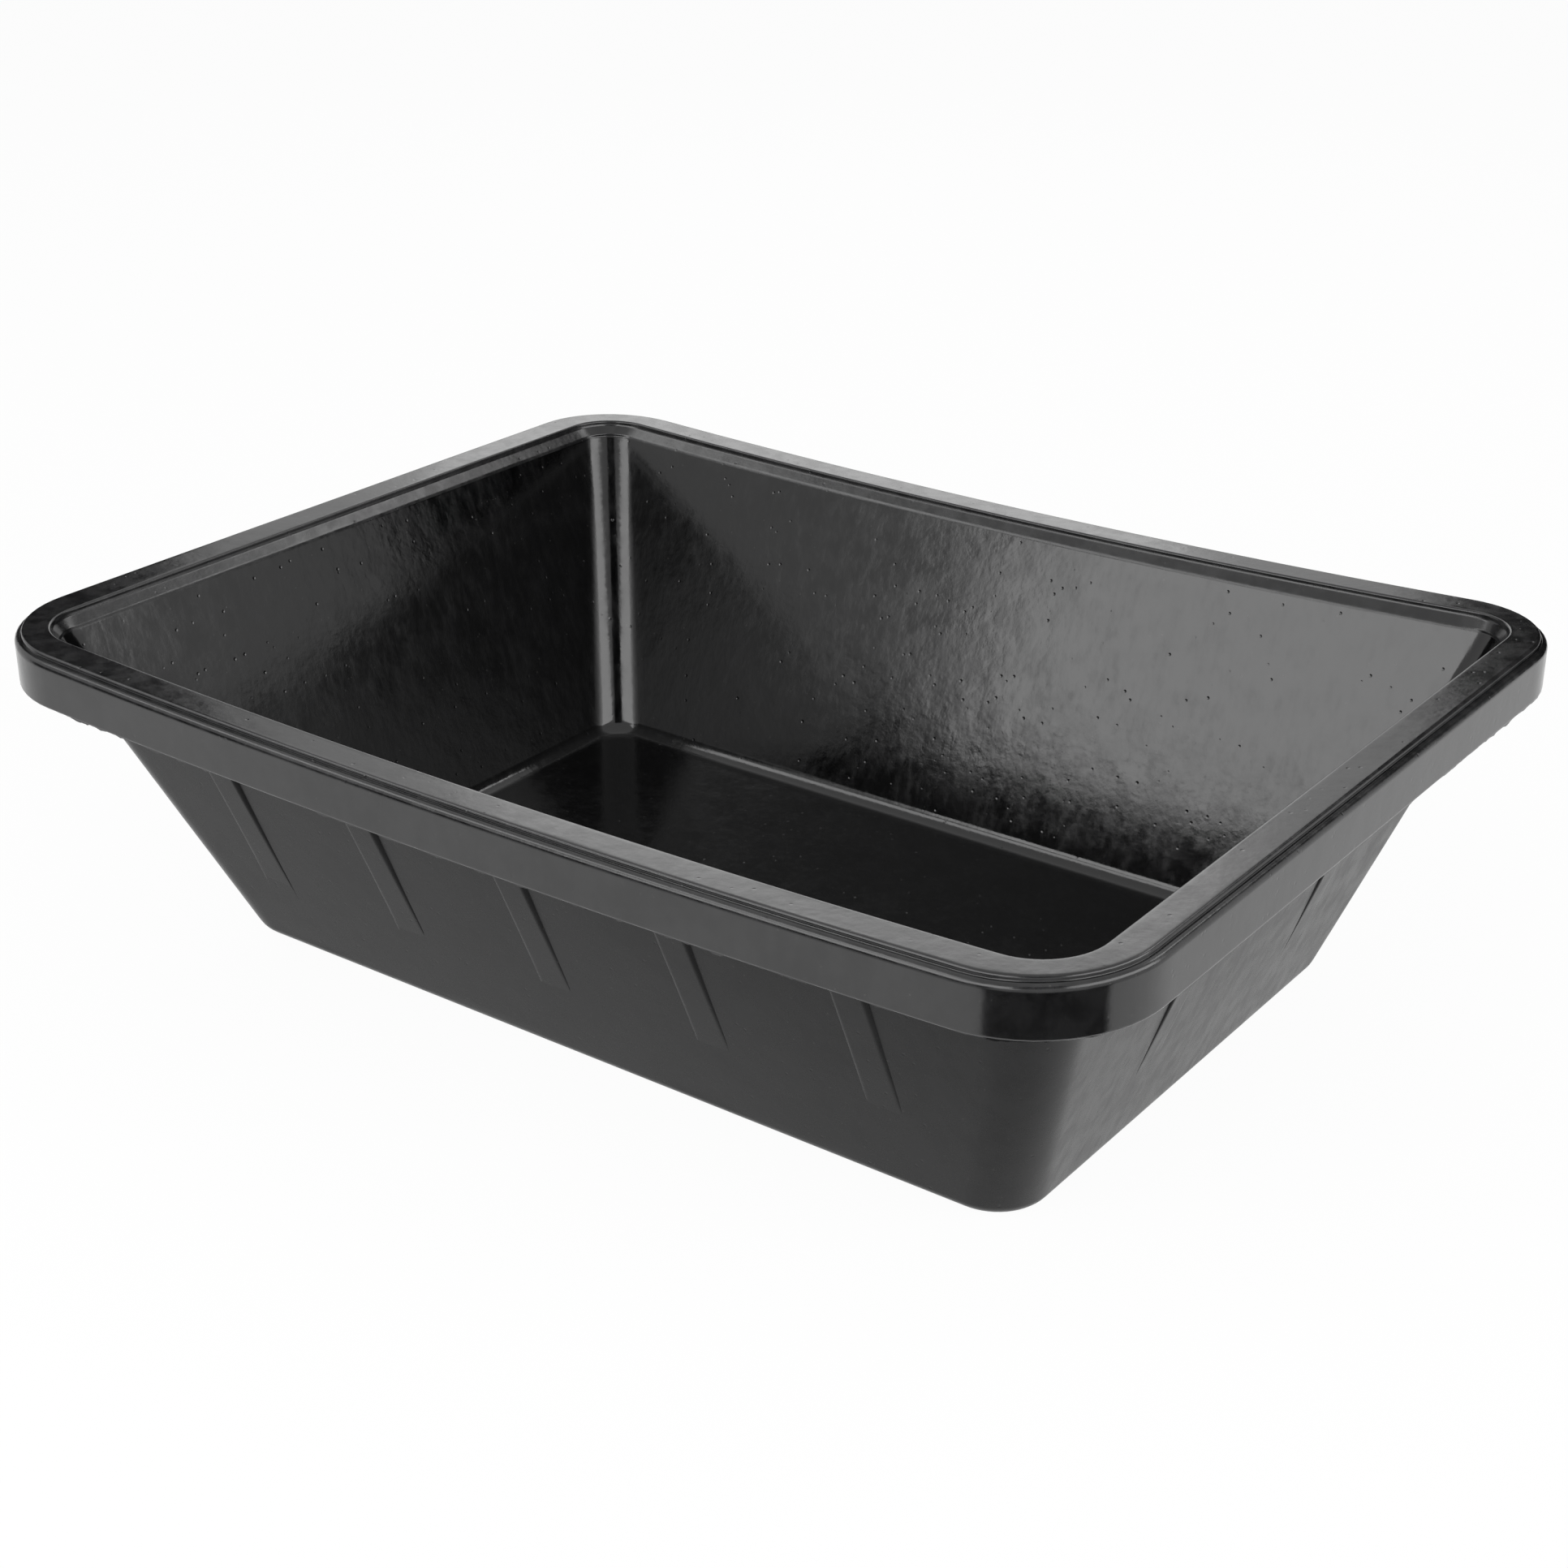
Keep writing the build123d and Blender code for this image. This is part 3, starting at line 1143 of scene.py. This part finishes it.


# Each finish's dark and pale colours hold painted light and shade: the rim's are lighter, as painted light on
# its top, and the inside's are darker, as painted shade within the basin.
FINISHES: dict[Finish, MouldedBlack] = {
    Finish.INSIDE: MouldedBlack(
        name="black_plastic_inside",
        # painted shade: the inside is set darker than the black of the outside
        dark=(0.0008, 0.0008, 0.0009),
        pale=(0.003, 0.003, 0.0032),
        smooth=0.1,
        rough=0.2,
        coat=0.0,
        shine=0.48,
        mottle_scale=55.0,
        streak_share=0.9,
        pit_depth=0.00022,
        grain_depth=0.00005,
    ),
    Finish.RIM: MouldedBlack(
        name="black_plastic_rim",
        # painted light: the rim's top is set lighter than the black of the walls
        dark=(0.005, 0.005, 0.0053),
        pale=(0.018, 0.018, 0.0185),
        smooth=0.17,
        rough=0.32,
        coat=0.05,
        shine=0.45,
        mottle_scale=90.0,
        streak_share=0.2,
        pit_depth=0.0002,
        grain_depth=0.00006,
    ),
    Finish.SKIRT: MouldedBlack(
        name="black_plastic_skirt",
        dark=(0.003, 0.003, 0.0032),
        pale=(0.012, 0.012, 0.0123),
        smooth=0.12,
        rough=0.24,
        coat=0.0,
        shine=0.75,
        mottle_scale=70.0,
        streak_share=0.3,
        pit_depth=0.00015,
        grain_depth=0.00004,
    ),
    Finish.OUTSIDE: MouldedBlack(
        name="black_plastic_outside",
        dark=(0.003, 0.003, 0.0032),
        pale=(0.009, 0.009, 0.0093),
        smooth=0.24,
        rough=0.34,
        coat=0.0,
        shine=0.11,
        mottle_scale=60.0,
        streak_share=0.6,
        pit_depth=0.00012,
        grain_depth=0.00002,
    ),
}


# ----- Studio -----

WHITE = (1, 1, 1, 1)
PALE_PAPER = (0.85, 0.85, 0.85, 1)
BLACK_FELT = (0.004, 0.004, 0.004, 1)
CAMERA_REACH = 50.0


@dataclass(frozen=True)
class Softbox:
    """A soft lamp: a lit rectangle that faces the tub."""

    name: str
    heading: float  # degrees round the tub from +X towards +Y
    elevation: float
    distance: float
    width: float
    height: float
    power: float

    def build(self) -> None:
        """Adds the lamp, aimed at the tub."""
        lamp = bpy.data.lights.new(self.name, "AREA")
        lamp.shape = "RECTANGLE"
        lamp.size, lamp.size_y, lamp.energy = self.width, self.height, self.power
        light = show(self.name, lamp)
        heading, elevation = math.radians(self.heading), math.radians(self.elevation)
        level = math.cos(elevation)
        way = Vector((level * math.cos(heading), level * math.sin(heading), math.sin(elevation)))
        light.location = way * self.distance
        light.rotation_euler = way.to_track_quat("Z", "Y").to_euler()
        light.visible_camera = False


@dataclass(frozen=True)
class BlackCard:
    """A curved black card that stands on the floor and is seen only in the tub's reflections."""

    name: str
    first_heading: float  # degrees round the tub from +X towards +Y
    last_heading: float
    distance: float
    foot: float
    head: float
    steps: int = 24

    def build(self) -> None:
        """Adds the card, curved round the tub's middle."""
        points = arc((0, 0), self.distance, self.first_heading, self.last_heading, self.steps)
        corners = [(x, y, self.foot) for x, y in points] + [(x, y, self.head) for x, y in points]
        above = self.steps + 1
        faces = [(i, i + 1, i + 1 + above, i + above) for i in range(self.steps)]
        mesh = bpy.data.meshes.new(self.name)
        mesh.from_pydata(corners, [], faces)
        card = show(self.name, mesh)
        material, patch = start_material(self.name)
        felt = patch.get("ShaderNodeBsdfDiffuse", {"Color": BLACK_FELT})
        patch.add("ShaderNodeOutputMaterial", {"Surface": felt})
        mesh.materials.append(material)
        card.visible_camera = card.visible_shadow = card.visible_diffuse = False


@dataclass
class Studio:
    """A pale floor, a pale surround, soft lamps and the camera."""

    shape: TubShape
    floor_half: float = 12.0
    floor_gap: float = 0.5 * MM
    floor_glow: float = 0.95
    surround_light: float = 0.45
    azimuth: float = 36.3
    elevation: float = 24.8
    distance: float = 1.2717
    lens: float = 59.47
    sensor: float = 36.0
    target: tuple[float, float, float] = (0.0514, -0.0651, 0.1305)
    lamps: list[Softbox] = field(
        default_factory=lambda: [
            Softbox("left_softbox", -94, 28, 2.0, 2.1, 0.95, 24),
            Softbox("right_softbox", 0, 26, 2.2, 2.8, 0.95, 32),
            Softbox("rear_softbox", 125, 26, 2.4, 1.0, 0.7, 3),
            Softbox("ledge_softbox", 63, 43, 2.4, 0.6, 0.5, 3.5),
            Softbox("bead_softbox", -138, 48, 2.2, 1.5, 0.45, 7),
        ]
    )
    cards: list[BlackCard] = field(
        default_factory=lambda: [
            BlackCard("near_card", -60, -24, 0.53, 0.0, 0.13),
            BlackCard("rear_left_card", 150, 180, 1.5, 0.2, 1.3),
            BlackCard("rear_right_card", 51, 100, 1.5, 0.0, 1.3),
            BlackCard("front_left_card", -150, -78, 1.5, 0.0, 0.52),
            BlackCard("front_card", -68, -34, 1.5, 0.6, 1.8),
        ]
    )

    @staticmethod
    def _seen_directly(patch: Patch) -> Socket:
        """Whether a ray comes from the camera or from a clear reflection.

        Args:
            patch: the tree being built.

        Returns:
            A socket that is 1 for such a ray and 0 for the rest.
        """
        path = patch.add("ShaderNodeLightPath").outputs
        seen = patch.math("MAXIMUM", path["Is Camera Ray"], path["Is Glossy Ray"])
        return patch.math("MAXIMUM", seen, path["Is Transmission Ray"])

    def _floor(self) -> None:
        """Adds the floor, which shows white and keeps the tub's shadow."""
        half = self.floor_half
        mesh = bpy.data.meshes.new("studio_floor")
        corners = [(-half, -half, 0), (half, -half, 0), (half, half, 0), (-half, half, 0)]
        mesh.from_pydata(corners, [], [(0, 1, 2, 3)])
        floor = show("studio_floor", mesh)
        floor.location.z = -self.floor_gap
        material, patch = start_material("studio_floor")
        paper = patch.get("ShaderNodeBsdfDiffuse", {"Color": PALE_PAPER})
        glow = patch.get("ShaderNodeEmission", {"Color": WHITE, "Strength": 1.0})
        share = patch.times(self._seen_directly(patch), self.floor_glow)
        mixed = patch.get("ShaderNodeMixShader", {0: share, 1: paper, 2: glow})
        patch.add("ShaderNodeOutputMaterial", {"Surface": mixed})
        mesh.materials.append(material)

    def _surround(self) -> None:
        """Lights the scene from a pale surround that shows white."""
        world = bpy.data.worlds.new("studio")
        bpy.context.scene.world = world
        world.use_nodes = True
        patch = Patch(world.node_tree)
        white = patch.get("ShaderNodeBackground", {"Color": WHITE, "Strength": 1.0})
        soft = patch.get("ShaderNodeBackground", {"Color": WHITE, "Strength": self.surround_light})
        mixed = patch.get("ShaderNodeMixShader", {0: self._seen_directly(patch), 1: soft, 2: white})
        patch.add("ShaderNodeOutputWorld", {"Surface": mixed})

    def _camera(self) -> None:
        """Adds the camera, looking down at the tub from its front right corner."""
        data = bpy.data.cameras.new("camera")
        data.lens, data.sensor_width = self.lens, self.sensor
        data.clip_end = CAMERA_REACH
        camera = show("camera", data)
        azimuth, elevation = math.radians(self.azimuth), math.radians(self.elevation)
        level = math.cos(elevation)
        away = Vector((level * math.sin(azimuth), -level * math.cos(azimuth), math.sin(elevation)))
        camera.location = Vector(self.target) + away * self.distance
        camera.rotation_euler = away.to_track_quat("Z", "Y").to_euler()
        bpy.context.scene.camera = camera

    def build(self) -> None:
        """Sets up the studio."""
        self._floor()
        self._surround()
        self._camera()
        for item in [*self.lamps, *self.cards]:
            item.build()
        bpy.context.scene.view_settings.view_transform = "Standard"


def main() -> None:
    """Builds the tub and the studio."""
    shape = TubShape.from_frame()
    effects = PlasticEffects()
    finishes = {finish: look.build(effects) for finish, look in FINISHES.items()}
    Moulding(shape).build(finishes)
    for side in Side:
        count, pitch = LONG_SIDE_RIBS if side.lies_along_x else SHORT_SIDE_RIBS
        StackingRibs(shape, side, count, pitch).build(finishes[Finish.OUTSIDE])
    MouldingFlash(shape).build(finishes[Finish.SKIRT])
    Studio(shape).build()


if __name__ == "__main__":
    main()
